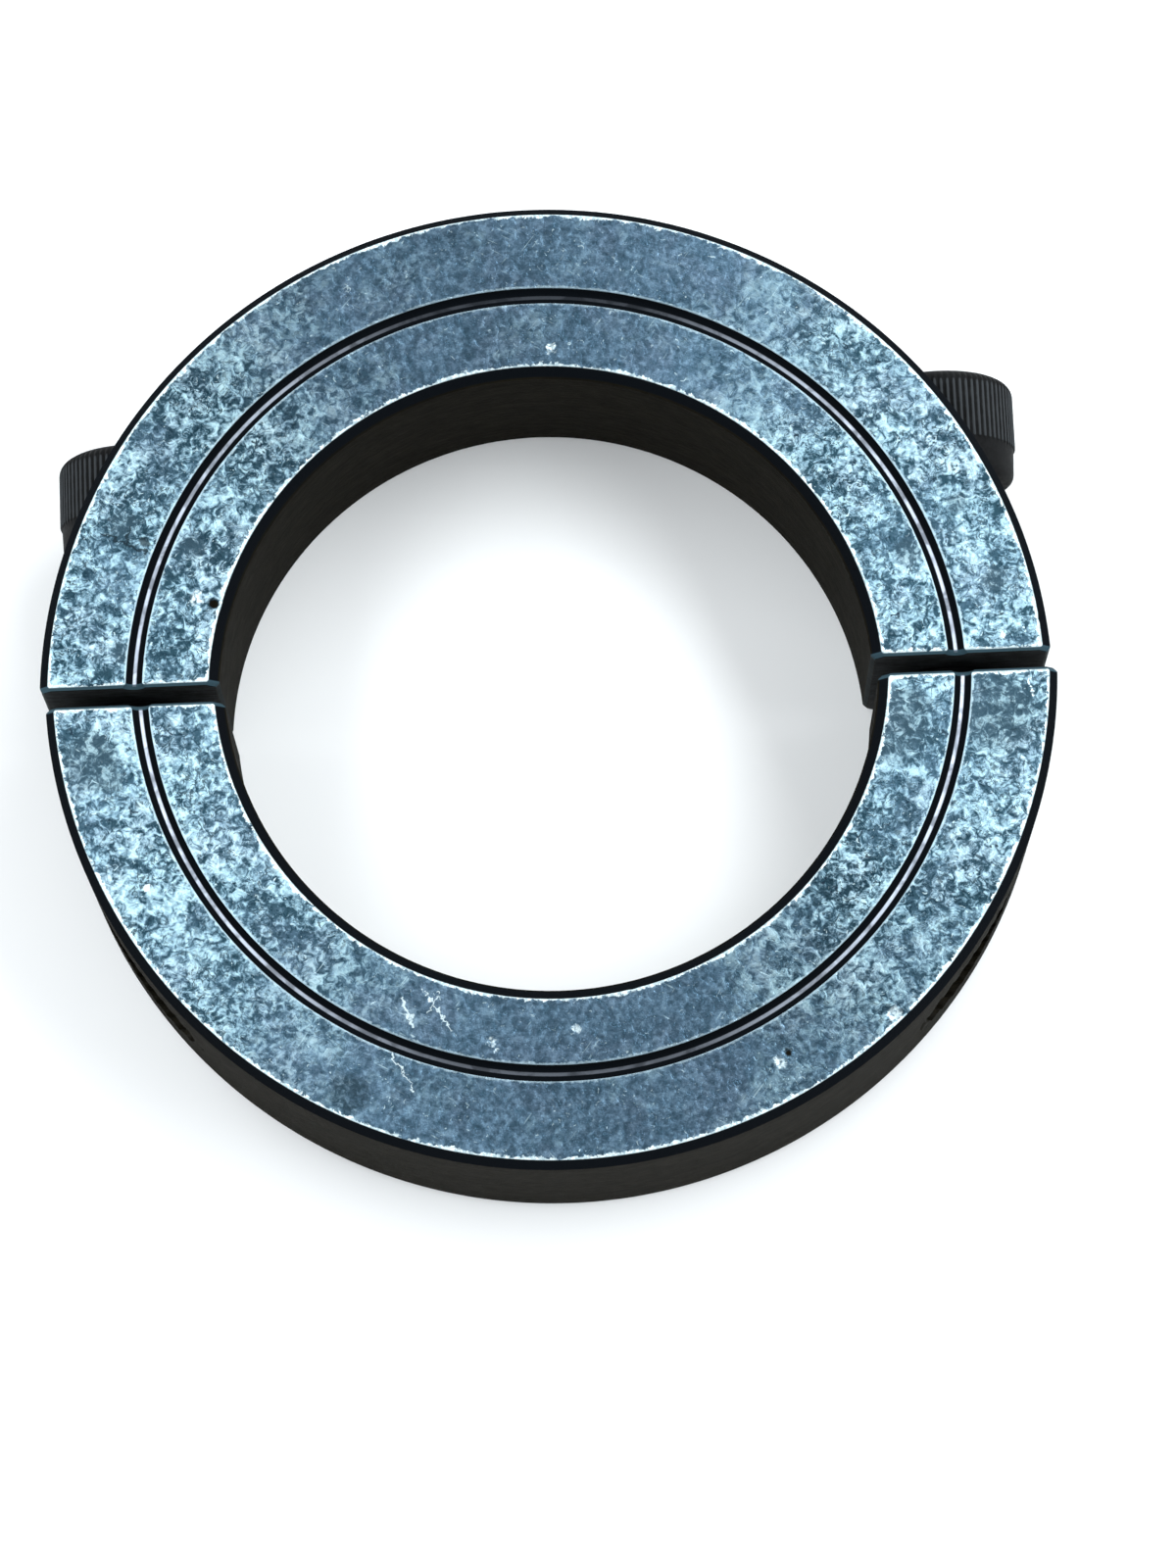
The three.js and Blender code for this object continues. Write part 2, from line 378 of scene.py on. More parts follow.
def dented(points, direction):
    """Presses the dents of one half into the points near the top face."""
    points = points.copy()
    near_top = points[..., 2] > WIDTH - DENT_REACH
    for x, y, radius, depth, _ in DENTS:
        if y * direction < 0:
            continue
        away = np.hypot(points[..., 0] - x, points[..., 1] - y) / radius
        pressed = depth * np.clip(1 - away ** 2, 0, 1) ** 2
        raised = LIP_SHARE * depth * np.exp(-(((away - LIP_PLACE) / LIP_WIDTH) ** 2))
        points[..., 2] -= np.where(near_top, pressed - raised, 0)
    return points


def half_ring(name, centre, direction, seed):
    """Half of the ring, swept round the arc, with flat ends on the split.

    centre is where the half's own axis lies, and direction is 1 for the half on the +Y
    side of the split and -1 for the other."""
    rng = np.random.default_rng(seed)
    breaks = len(BREAK_STEPS)
    columns = ARC_COLUMNS + 2 * breaks
    inset = np.zeros(columns)
    inset[:breaks] = [EDGE_BREAK * share for _, share in BREAK_STEPS]
    inset[-breaks:] = inset[:breaks][::-1]
    rims = []
    for grain in (5, 7):
        broad = wander(rng, columns, grain, 0, 0.4)
        narrow = wander(rng, columns, 2, 0, 0.25)
        rims.append(RIM_ROUNDING + broad ** 2 + narrow ** 2)
    rim_outer, rim_inner = rims
    fillet = CORNER_ROUNDING + wander(rng, columns, 6, 0, 0.08)
    rows = section(inset, rim_outer, rim_inner, fillet)
    radius, height = rows[:, 0, :], rows[:, 1, :]

    flat = SAW_CUT / 2
    x = np.empty_like(radius)
    y = np.empty_like(radius)
    for step, (distance, _) in enumerate(BREAK_STEPS):
        level = flat + distance
        for column, side in ((step, 1), (columns - 1 - step, -1)):
            y[:, column] = level
            x[:, column] = side * np.sqrt(radius[:, column] ** 2 - level ** 2)
    inner = slice(breaks, columns - breaks)
    share = (np.arange(ARC_COLUMNS) + 1) / (ARC_COLUMNS + 1)
    level = flat + BREAK_STEPS[-1][0]
    start = np.arcsin(level / radius[:, inner])
    angle = start + share[None, :] * (np.pi - 2 * start)
    x[:, inner] = radius[:, inner] * np.cos(angle)
    y[:, inner] = radius[:, inner] * np.sin(angle)

    points = np.stack([centre[0] + x, centre[1] + direction * y, height], 2)
    points = dented(points, direction)
    count = points.shape[0]
    points = points.transpose(1, 0, 2).reshape(-1, 3)
    faces = ring_faces(columns, count)
    faces.append(tuple(range(count)))
    faces.append(tuple(range((columns - 1) * count, columns * count)))
    return mesh_object(name, points, faces)


def helix(name, minor, major, bottom, top, place):
    """A closed right-hand thread about +Y, with a flat crest and root. Heights count
    from place, and every helix made with one place is in step with the others."""
    per_pitch = len(THREAD_PROFILE)
    first = math.floor(bottom / PITCH) - 1
    turns = math.ceil(top / PITCH) + 2 - first
    rows = turns * per_pitch
    columns = THREAD_COLUMNS
    points = []
    for column in range(columns):
        angle = 2 * math.pi * column / columns
        for row in range(rows + 1):
            share, is_crest = THREAD_PROFILE[row % per_pitch]
            radius = major if is_crest else minor
            height = (first + row // per_pitch + share + column / columns) * PITCH
            # +Y is the axis, so a right-hand turn goes from +Z towards +X.
            points.append((radius * math.sin(angle), height, radius * math.cos(angle)))
    # Each end is closed by a fan from a point on the axis, about as high as its rim.
    low, high = len(points), len(points) + 1
    points.append((0, (first + 0.6) * PITCH, 0))
    points.append((0, (first + turns) * PITCH, 0))

    def at(column, row):
        """The vertex at a row. The column after the last is the first, a pitch up."""
        if column == columns:
            return row + per_pitch
        return column * (rows + 1) + row

    faces = []
    for column in range(columns):
        height = rows - per_pitch if column == columns - 1 else rows
        for row in range(height):
            low_edge = at(column, row), at(column + 1, row)
            high_edge = at(column + 1, row + 1), at(column, row + 1)
            faces.append((*low_edge, *high_edge))
    low_rim = [at(column, 0) for column in range(columns)]
    low_rim += [at(0, per_pitch - step) for step in range(per_pitch)]
    high_rim = [at(column, rows) for column in range(columns)]
    high_rim += [at(columns - 1, rows - 1 - step) for step in range(per_pitch)]
    for index, vertex in enumerate(low_rim):
        faces.append((low, low_rim[(index + 1) % len(low_rim)], vertex))
    for index, vertex in enumerate(high_rim):
        faces.append((high, vertex, high_rim[(index + 1) % len(high_rim)]))
    return mesh_object(name, np.array(points) + np.array(place), faces)


def screw_passage(x):
    """The cutter for one clearance hole, its broken mouth and its counterbore."""
    mouth = SPLIT_GAP / 2
    past_mouth, mouth_break = 2, 0.3
    hole, seat = CLEARANCE_HOLE_RADIUS, COUNTERBORE_RADIUS
    corner = 0.3 * SEAT_FILLET
    end = OUTER_RADIUS + CUTTER_OVERRUN
    profile = [
        (0, mouth - past_mouth),
        (hole + mouth_break + past_mouth, mouth - past_mouth),
        (hole, mouth + mouth_break),
        (hole, SEAT_Y - SEAT_BREAK),
        (hole + SEAT_BREAK, SEAT_Y),
        (seat - SEAT_FILLET, SEAT_Y),
        (seat - corner, SEAT_Y + corner),
        (seat, SEAT_Y + SEAT_FILLET),
        (seat, end),
        (0, end),
    ]
    return turned("passage", profile, HOLE_COLUMNS, (x, 0, WIDTH / 2))


def tapped_cutters(x):
    """The cutters for one tapped hole: its thread and its broken mouth."""
    place = (x, SEAT_Y + SEAT_CLEARANCE, WIDTH / 2)
    bottom = -OUTER_RADIUS - SEAT_Y - CUTTER_OVERRUN
    minor, major = MINOR_RADIUS + THREAD_CLEARANCE, MAJOR_RADIUS + THREAD_CLEARANCE
    thread = helix("tap", minor, major, bottom, -SEAT_Y + 1, place)
    mouth = -SPLIT_GAP / 2
    past_mouth = 2
    sink = MAJOR_RADIUS + HOLE_BREAK
    profile = [
        (0, mouth - sink),
        (sink, mouth),
        (sink, mouth + past_mouth),
        (0, mouth + past_mouth),
    ]
    return [thread, turned("sink", profile, HOLE_COLUMNS, (x, 0, WIDTH / 2))]


def make_clearance_half():
    centre = (-SIDE_OFFSET / 2, -HALF_SHIFT)
    half = half_ring("clearance_half_steel", centre, 1, 11)
    boolean(half, [screw_passage(x) for x in SCREW_XS.values()], "DIFFERENCE")
    return half, centre


def make_tapped_half():
    centre = (SIDE_OFFSET / 2, HALF_SHIFT)
    half = half_ring("tapped_half_steel", centre, -1, 12)
    cutters = [cutter for x in SCREW_XS.values() for cutter in tapped_cutters(x)]
    boolean(half, cutters, "DIFFERENCE")
    return half, centre


# --- Screws ---------------------------------------------------------------------------

def head_rows():
    """Rows up the outside of the neck and head and down into the socket.

    Each is a radius, a height above the seat, a share of knurl and a share of hexagon."""
    rows = [
        (MAJOR_RADIUS, -NECK_LENGTH, 0, 0),
        (MAJOR_RADIUS, -0.45, 0, 0),
        (MAJOR_RADIUS + 0.08, -0.18, 0, 0),
        (MAJOR_RADIUS + 0.28, -0.02, 0, 0),
        (MAJOR_RADIUS + 0.5, 0.0, 0, 0),
        (BARREL_RADIUS - 0.64, 0.0, 0, 0),
        (BARREL_RADIUS - 0.46, 0.04, 0, 0),
        (BARREL_RADIUS - 0.26, 0.22, 0, 0),
        (BARREL_RADIUS - 0.16, 0.42, 0, 0),
        (BARREL_RADIUS - 0.12, 0.7, 0, 0),
        (BARREL_RADIUS - 0.06, 2.0, 0, 0),
        (BARREL_RADIUS - 0.04, 2.42, 0, 0),
        (BARREL_RADIUS - 0.02, 2.52, 0.4, 0),
        (BARREL_RADIUS, KNURL_START, 1, 0),
    ]
    shoulder = HEAD_HEIGHT - HEAD_ROUNDING
    barrel_steps, shoulder_steps, socket_steps = 8, 9, 5
    for step in range(1, barrel_steps + 1):
        height = KNURL_START + (shoulder - KNURL_START) * step / barrel_steps
        rows.append((BARREL_RADIUS, height, 1, 0))
    for step in range(1, shoulder_steps + 1):
        angle = math.pi / 2 * step / shoulder_steps
        radius = BARREL_RADIUS - HEAD_ROUNDING * (1 - math.cos(angle))
        # The knurl runs out two thirds of the way round the shoulder.
        knurl = max(0.0, 1 - (1.5 * step / shoulder_steps) ** 2)
        rows.append((radius, shoulder + HEAD_ROUNDING * math.sin(angle), knurl, 0))
    corner = SOCKET_ACROSS_FLATS / math.sqrt(3)
    mouth = HEAD_HEIGHT - SOCKET_BREAK
    floor = HEAD_HEIGHT - SOCKET_DEPTH
    rows += [
        (4.3, HEAD_HEIGHT, 0, 0),
        (4.05, HEAD_HEIGHT - 0.01, 0, 0),
        (3.95, HEAD_HEIGHT - 0.06, 0, 0),
        (corner + 0.02, mouth + 0.08, 0, 0.7),
        (corner, mouth, 0, 1),
    ]
    for step in range(1, socket_steps + 1):
        rows.append((corner, mouth + (floor - mouth) * step / socket_steps, 0, 1))
    rows += [
        (3.1, floor - 0.03, 0, 0),
        (2.6, floor - 0.25, 0, 0),
        (1.2, floor - 0.8, 0, 0),
    ]
    return rows


def head_solid(name, place):
    """The screw's neck and knurled head with its hexagon socket, seat at place."""
    angles = 2 * np.pi * np.arange(HEAD_COLUMNS) / HEAD_COLUMNS
    phase = (angles * KNURL_TEETH / (2 * np.pi)) % 1
    # Teeth with flat crests and narrow flat roots, from 0 to 1.
    tooth = np.clip((1 - np.abs(2 * phase - 1)) * 1.35 - 0.12, 0, 1)
    hexagon = (SOCKET_ACROSS_FLATS / 2) / np.cos((angles % (np.pi / 3)) - np.pi / 6)
    rings = []
    for radius, height, knurl, hexed in head_rows():
        reach = radius + knurl * KNURL_DEPTH * (tooth - 0.15)
        reach = reach * (1 - hexed) + hexagon * hexed
        rings.append(level_ring(reach, height, angles))
    count = len(rings)
    floor = HEAD_HEIGHT - SOCKET_DEPTH - SOCKET_CONE
    ends = [[0, -NECK_LENGTH, 0], [0, floor, 0]]
    points = np.concatenate([*rings, ends]) + np.array(place)
    faces = ring_faces(count, HEAD_COLUMNS)
    bottom, cone = count * HEAD_COLUMNS, count * HEAD_COLUMNS + 1
    last = (count - 1) * HEAD_COLUMNS
    for column in range(HEAD_COLUMNS):
        after = (column + 1) % HEAD_COLUMNS
        faces.append((bottom, after, column))
        faces.append((cone, last + column, last + after))
    return mesh_object(name, points, faces)


def make_screw(side, place):
    """One screw as a single solid, with the underside of its head at place."""
    head = head_solid(side + "_screw_steel", place)
    top = -THREAD_START
    shank = helix("shank", MINOR_RADIUS, MAJOR_RADIUS - CREST_EASE, -SHANK_LENGTH, top, place)
    tip_radius = MINOR_RADIUS - TIP_TAPER
    wide = MAJOR_RADIUS + 1
    profile = [
        (0, -SHANK_LENGTH),
        (tip_radius, -SHANK_LENGTH),
        (wide, wide - tip_radius - SHANK_LENGTH),
        (wide, top),
        (0, top),
    ]
    boolean(shank, [turned("envelope", profile, HOLE_COLUMNS, place)], "INTERSECT")
    boolean(head, [shank], "UNION")
    return head


# --- Materials ------------------------------------------------------------------------

# Colours of the worn face against the height of the wear pattern, which is mostly
# between 0.38 and 0.62.
CALM_METAL = [
    (0.38, (0.058, 0.116, 0.170)),
    (0.50, (0.098, 0.175, 0.252)),
    (0.62, (0.175, 0.290, 0.400)),
]
# Lively metal is paler. Towards the split it also carries the painted reflection.
LIVELY_METAL = [
    (0.36, (0.020, 0.050, 0.070)),
    (0.43, (0.090, 0.165, 0.215)),
    (0.50, (0.210, 0.335, 0.410)),
    (0.56, (0.310, 0.480, 0.555)),
    (0.64, (0.430, 0.620, 0.680)),
]
CURL = (0.010, 0.028, 0.042)
PIT = (0.012, 0.022, 0.035)
SPARK = (0.62, 0.80, 0.86)
STAIN = (0.030, 0.058, 0.080)
STREAK = (0.50, 0.68, 0.75)
WARMER = (1.18, 0.98, 0.98)
# Rim line: worn bare edge with a painted highlight.
RIM_WEAR_AND_HIGHLIGHT_DULL = (0.42, 0.55, 0.60)
RIM_WEAR_AND_HIGHLIGHT_BRIGHT = (0.80, 0.92, 0.95)
LIP_METAL = (0.50, 0.66, 0.74)
BARE_MARK = (0.66, 0.80, 0.85)
DARK_MARK = (0.012, 0.020, 0.026)

# Colours of the black oxide, and of the shade, highlight and sheen painted on it
WALL_DARK = (0.0040, 0.0035, 0.0020)
WALL_PALE = (0.0085, 0.0072, 0.0040)
# Painted shade and dark reflection on the chamfers and the groove's walls, darker than the
# oxide.
CHAMFER_AND_GROOVE_SHADE = (0.0018, 0.0028, 0.0042)
# Painted highlight: the light reflected in the groove's round bottom.
GROOVE_HIGHLIGHT = (0.52, 0.57, 0.67)
# Painted sheen on the break along the split.
BREAK_SHEEN_TEAL = (0.040, 0.078, 0.100)
SAWN_GREY = (0.030, 0.036, 0.042)
SCREW_DARK = (0.003, 0.0033, 0.0036)
SCREW_PALE = (0.008, 0.0085, 0.009)
KNURL_RUB_AND_HIGHLIGHT = (0.055, 0.062, 0.068)

# Radii between which the knurl's crests are paler, from rubbing and a painted highlight, and
# bump heights in metres
CREST_RADII = (5.90, 5.97)
COLLAR_BUMP = 0.0001
SCREW_BUMP = 0.00003


class Graph:
    """Short names for the shader nodes that the materials are built from."""

    def __init__(self, name):
        self.material = bpy.data.materials.new(name)
        self.material.use_nodes = True
        self.nodes = self.material.node_tree.nodes
        self.links = self.material.node_tree.links
        self.shader = self.nodes["Principled BSDF"]
        coordinates = self.nodes.new("ShaderNodeTexCoord").outputs["Object"]
        self.place = self.scaled(coordinates, (1 / MM, 1 / MM, 1 / MM))

    def feed(self, socket, value):
        if isinstance(value, bpy.types.NodeSocket):
            self.links.new(value, socket)
        else:
            socket.default_value = value

    def math(self, operation, first, second=0.0, third=0.0, clamp=False):
        node = self.nodes.new("ShaderNodeMath")
        node.operation = operation
        node.use_clamp = clamp
        for socket, value in zip(node.inputs, (first, second, third)):
            self.feed(socket, value)
        return node.outputs[0]

    def chain(self, operation, values):
        total = values[0]
        for value in values[1:]:
            total = self.math(operation, total, value)
        return total

    def times(self, *values):
        return self.chain("MULTIPLY", values)

    def highest(self, *values):
        return self.chain("MAXIMUM", values)

    def lowest(self, *values):
        return self.chain("MINIMUM", values)

    def less(self, first, second):
        return self.math("SUBTRACT", first, second)

    def line(self, value, factor, base):
        """value * factor + base"""
        return self.math("MULTIPLY_ADD", value, factor, base)

    def length(self, x, y):
        return self.math("SQRT", self.line(x, x, self.times(y, y)))

    def step(self, value, low, high, start=0.0, end=1.0):
        """Goes smoothly from start to end as value goes from low to high."""
        node = self.nodes.new("ShaderNodeMapRange")
        node.interpolation_type = "SMOOTHSTEP"
        names = ("Value", "From Min", "From Max", "To Min", "To Max")
        for name, given in zip(names, (value, low, high, start, end)):
            self.feed(node.inputs[name], given)
        return node.outputs["Result"]

    def fall(self, value, low, high):
        return self.step(value, low, high, 1.0, 0.0)

    def mix(self, share, first, second):
        node = self.nodes.new("ShaderNodeMix")
        node.data_type = "RGBA"
        self.feed(node.inputs["Factor"], share)
        for socket, value in ((node.inputs[6], first), (node.inputs[7], second)):
            self.feed(socket, (*value, 1) if isinstance(value, tuple) else value)
        return node.outputs[2]

    def ramp(self, value, stops):
        """A colour that runs through (position, colour) stops."""
        node = self.nodes.new("ShaderNodeValToRGB")
        self.feed(node.inputs[0], value)
        band = node.color_ramp
        while len(band.elements) < len(stops):
            band.elements.new(1.0)
        for element, (position, colour) in zip(band.elements, stops):
            element.position = position
            element.color = (*colour, 1)
        return node.outputs[0]

    def noise(self, vector, scale, detail, roughness, distortion=0.0):
        node = self.nodes.new("ShaderNodeTexNoise")
        names = ("Vector", "Scale", "Detail", "Roughness", "Distortion")
        for name, given in zip(names, (vector, scale, detail, roughness, distortion)):
            self.feed(node.inputs[name], given)
        return node.outputs["Fac"]

    def scaled(self, vector, factors):
        node = self.nodes.new("ShaderNodeVectorMath")
        node.operation = "MULTIPLY"
        self.feed(node.inputs[0], vector)
        self.feed(node.inputs[1], factors)
        return node.outputs[0]

    def join(self, x, y, z):
        node = self.nodes.new("ShaderNodeCombineXYZ")
        for socket, value in zip(node.inputs, (x, y, z)):
            self.feed(socket, value)
        return node.outputs[0]

    def split(self, vector):
        node = self.nodes.new("ShaderNodeSeparateXYZ")
        self.feed(node.inputs[0], vector)
        return node.outputs

    def near_point(self, x, y, point, reach):
        """1 round the point, fading to 0 at about reach from it."""
        away = self.length(self.less(x, point[0]), self.less(y, point[1]))
        return self.fall(away, reach * 0.55, reach * 1.15)

    def near_line(self, x, y, start, end, reach):
        """1 on the line from start to end, fading to 0 at about reach from it."""
        length = math.dist(start, end)
        along_x, along_y = (end[0] - start[0]) / length, (end[1] - start[1]) / length
        from_x, from_y = self.less(x, start[0]), self.less(y, start[1])
        share = self.times(from_y, along_y / length)
        share = self.line(from_x, along_x / length, share)
        share = self.lowest(self.highest(share, 0.0), 1.0)
        off_x = self.line(share, -along_x * length, from_x)
        off_y = self.line(share, -along_y * length, from_y)
        return self.near_point(off_x, off_y, (0, 0), reach)

    def bump(self, height, distance, strength):
        node = self.nodes.new("ShaderNodeBump")
        node.inputs["Distance"].default_value = distance
        node.inputs["Strength"].default_value = strength
        self.feed(node.inputs["Height"], height)
        return node.outputs[0]


class HalfPlace:
    """Where a shaded point lies on one half, in millimetres."""

    def __init__(self, g, centre, direction):
        self.direction = direction
        self.x, self.y, self.z = g.split(g.place)
        self.dx = g.less(self.x, centre[0])
        self.dy = g.less(self.y, centre[1])
        self.radius = g.length(self.dx, self.dy)
        self.angle = g.math("ARCTAN2", self.dy, self.dx)
        # Distances inward from the top face's outer rim, bore rim and split edge
        self.to_outer = g.less(OUTER_RADIUS - OUTER_CHAMFER, self.radius)
        self.to_bore = g.less(self.radius, BORE_RADIUS + BORE_CHAMFER)
        self.to_split = g.less(g.times(self.y, direction), SPLIT_GAP / 2 + EDGE_BREAK)
        self.to_rim = g.lowest(self.to_outer, self.to_bore, self.to_split)
        # Distances from the groove's middle and from its lips
        self.from_groove = g.math("ABSOLUTE", g.less(self.radius, GROOVE_RADIUS))
        self.to_groove = g.less(self.from_groove, GROOVE_HALF_WIDTH)
        top = g.step(self.z, WIDTH - 0.12, WIDTH - 0.05)
        self.face = g.highest(top, g.fall(self.z, 0.05, 0.12))


class Wear:
    """The noise patterns that the parts of one half's finish share."""

    def __init__(self, g, at):
        broad = g.noise(g.place, 0.16, 2, 0.5)
        veins = g.noise(g.place, 1.45, 4, 0.60, 0.9)
        self.coarse = g.noise(g.place, 0.42, 3, 0.6, 0.8)
        self.fine = g.noise(g.place, 3.2, 3, 0.6, 0.5)
        self.ragged = g.noise(g.place, 1.9, 4, 0.7, 0.6)
        pattern = g.line(self.fine, 0.36, g.line(veins, 1.05, -0.355))
        self.pattern = g.line(self.coarse, 0.30, pattern)
        self.pits = g.fall(g.noise(g.place, 1.7, 2, 0.5, 1.0), 0.27, 0.33)
        # The face is painted paler and livelier towards the split: partly rubbing, partly a
        # painted reflection of the light in the turned metal.
        self.rub_and_sheen_to_split = g.step(g.math("ABSOLUTE", g.math("COSINE", at.angle)), 0.25, 0.85)
        patchy = g.line(g.math("ADD", broad, self.coarse), 1.1, -1.15)
        # Patchy wear, plus the painted reflection towards the split.
        self.rubbed_and_sheen = g.math("ADD", self.rub_and_sheen_to_split, patchy, clamp=True)
        # The walls have turned marks under their spots.
        swept = g.join(g.times(at.angle, 5.0), g.times(at.z, 4.5), g.times(at.radius, 0.5))
        turned_marks = g.times(g.noise(swept, 1.0, 4, 0.6), 0.6)
        self.spots = g.line(g.noise(g.place, 0.7, 4, 0.6), 0.4, turned_marks)


def mottled_metal(g, wear):
    """Colour of the worn faces: calm metal, and paler lively metal where the faces are worn
    and where the reflection towards the split is painted, with curls, pits and sparks.
    """
    grainy = g.line(wear.pattern, 0.25, -0.075)
    grainy = g.line(g.noise(g.place, 1.7, 5, 0.72), 0.9, grainy)
    # Broad smudges lower the pattern of the lively metal.
    smudge = g.noise(g.scaled(g.place, (0.8, 1.25, 1.0)), 0.15, 3, 0.55, 1.2)
    smudge = g.times(g.step(smudge, 0.47, 0.62), -0.075)
    lively = g.ramp(g.math("ADD", wear.pattern, smudge), LIVELY_METAL)
    # Lively metal where the face is worn and where the painted reflection lies.
    metal = g.mix(wear.rubbed_and_sheen, g.ramp(grainy, CALM_METAL), lively)

    # Thin curls of dark oxide follow the middle height of a noise, broken by the others.
    curl = g.math("ABSOLUTE", g.less(g.noise(g.place, 1.0, 3, 0.55, 1.6), 0.5))
    curl = g.times(
        g.fall(curl, 0.026, 0.074),
        g.step(wear.fine, 0.42, 0.53),
        g.step(wear.coarse, 0.45, 0.62, 1.0, 0.35),
        g.line(wear.rubbed_and_sheen, 0.72, 0.22),
    )
    metal = g.mix(curl, metal, CURL)
    tinge = g.noise(g.scaled(g.place, (1.0, 1.0, 1.3)), 0.22, 2, 0.5)
    tinge = g.step(tinge, 0.45, 0.62, 0.0, 0.35)
    metal = g.mix(tinge, metal, g.scaled(metal, WARMER))
    metal = g.mix(g.times(wear.pits, g.line(wear.rubbed_and_sheen, 0.6, 0.25)), metal, PIT)
    sparks = g.step(g.noise(g.place, 2.1, 2, 0.6, 1.2), 0.67, 0.73)
    return g.mix(g.times(sparks, 0.6), metal, SPARK)


def shaken_place(g, at):
    """The place in the plane, shaken so that the marks get ragged outlines."""
    shaken = []
    for along, depth in ((at.x, 20.0), (at.y, 40.0)):
        shake = g.noise(g.join(at.x, at.y, depth), 1.8, 2, 0.6)
        shaken.append(g.line(shake, 1.1, g.less(along, 0.55)))
    return shaken


def add_stains(g, at, wear, shaken, metal):
    stained = 0.0
    for x, y, reach in STAINS:
        if y * at.direction > 0:
            stained = g.highest(stained, g.near_point(*shaken, (x, y), reach))
    stained = g.times(stained, g.step(wear.pattern, 0.44, 0.62, 0.88, 0.45))
    return g.mix(stained, metal, STAIN)


def add_streaks(g, at, wear, metal):
    """Fine straight scratches in two directions, here and there."""
    for turn, seed in ((0.9, 3.0), (-0.5, 11.0)):
        cosine, sine = math.cos(turn), math.sin(turn)
        along = g.math("ADD", g.times(at.x, cosine), g.times(at.y, sine))
        across = g.less(g.times(at.y, cosine), g.times(at.x, sine))
        stretched = g.join(g.times(along, 0.35), g.times(across, 5.0), seed)
        streaks = g.step(g.noise(stretched, 1.0, 2, 0.5, 0.3), 0.66, 0.72)
        streaks = g.times(streaks, g.step(wear.coarse, 0.50, 0.62))
        metal = g.mix(g.times(streaks, 0.5), metal, STREAK)
    return metal


def marks(g, at, shaken, bare):
    """The mask of the dents and scratches of one half whose metal is bare, or not."""
    mask = 0.0
    for x, y, radius, _, is_bare in DENTS:
        if y * at.direction > 0 and is_bare == bare:
            mask = g.highest(mask, g.near_point(*shaken, (x, y), radius))
    for x0, y0, x1, y1, reach, is_bare in SCRATCHES:
        if y0 * at.direction > 0 and is_bare == bare:
            mask = g.highest(mask, g.near_line(*shaken, (x0, y0), (x1, y1), reach))
    return mask


def rim_wear_and_highlight_mask(g, at, wear):
    """A line along the face's rims, ragged towards the face: worn bare edge with a painted
    highlight where the rounded rims catch the light.
    """
    reach = g.line(wear.ragged, 1.0, g.line(wear.coarse, 0.7, -0.77))
    return g.step(g.less(reach, at.to_rim), -0.05, 0.05)


def face_metal(g, at, wear, rim_wear_and_highlight):
    """Colour of the two flat faces, with everything that marks them."""
    metal = mottled_metal(g, wear)
    shaken = shaken_place(g, at)
    metal = add_stains(g, at, wear, shaken, metal)
    metal = add_streaks(g, at, wear, metal)
    # The rims' line: worn bare metal with a painted highlight.
    bare = g.mix(g.step(wear.fine, 0.38, 0.6), RIM_WEAR_AND_HIGHLIGHT_DULL, RIM_WEAR_AND_HIGHLIGHT_BRIGHT)
    metal = g.mix(rim_wear_and_highlight, metal, bare)
    lip = g.less(g.line(wear.ragged, 0.7, -0.22), at.to_groove)
    metal = g.mix(g.times(g.step(lip, -0.06, 0.05), 0.6), metal, LIP_METAL)
    speckled = g.step(wear.fine, 0.36, 0.52, 0.15, 1.0)
    metal = g.mix(g.times(marks(g, at, shaken, True), speckled), metal, BARE_MARK)
    return g.mix(g.times(marks(g, at, shaken, False), 0.85), metal, DARK_MARK)


def groove_highlight_line(g, at, wear):
    """A painted highlight along the bottom of the groove, faint far from the split."""
    line = g.times(
        g.fall(at.from_groove, 0.09, 0.17),
        g.fall(at.z, WIDTH - 0.52, WIDTH - 0.45),
        g.step(at.z, WIDTH - 0.75, WIDTH - 0.68),
        g.step(wear.coarse, 0.36, 0.56, 0.45, 1.0),
    )
    least = 0.15 if at.direction < 0 else 0.06
    return g.times(line, g.line(wear.rub_and_sheen_to_split, 0.85, least))


def black_oxide(g, at, wear, groove_highlight):
    """Colour of everything but the two flat faces."""
    oxide = g.mix(g.step(wear.spots, 0.35, 0.7), WALL_DARK, WALL_PALE)
    by_rim = g.highest(g.fall(at.to_outer, -0.02, 0.02), g.fall(at.to_bore, -0.02, 0.02))
    wall = g.times(g.step(at.z, 0.7, 0.8), g.fall(at.z, WIDTH - 0.8, WIDTH - 0.7))
    chamfer = g.times(by_rim, g.less(1.0, wall))
    groove = g.times(
        g.fall(at.from_groove, GROOVE_HALF_WIDTH, GROOVE_HALF_WIDTH + 0.05),
        g.step(at.z, WIDTH - 0.8, WIDTH - 0.7),
    )
    # Painted shade and dark reflection on the chamfers and the groove's walls.
    oxide = g.mix(g.highest(chamfer, groove), oxide, CHAMFER_AND_GROOVE_SHADE)
    # Painted highlight along the groove's bottom.
    oxide = g.mix(groove_highlight, oxide, GROOVE_HIGHLIGHT)
    # A teal sheen is painted on the break along the split, strongest near the top face.
    broken = g.times(
        g.step(at.to_split, 0.02 - EDGE_BREAK, 0.07 - EDGE_BREAK),
        g.fall(at.to_split, 0.02, 0.10),
        g.step(at.z, WIDTH - 1.6, WIDTH - 0.7, 0.15, 1.0),
    )
    oxide = g.mix(g.times(broken, 0.8), oxide, BREAK_SHEEN_TEAL)
    sawn = g.fall(at.to_split, -0.01 - EDGE_BREAK, 0.02 - EDGE_BREAK)
    sawn = g.times(sawn, g.step(wear.spots, 0.3, 0.7, 0.2, 0.8))
    return g.mix(sawn, oxide, SAWN_GREY)


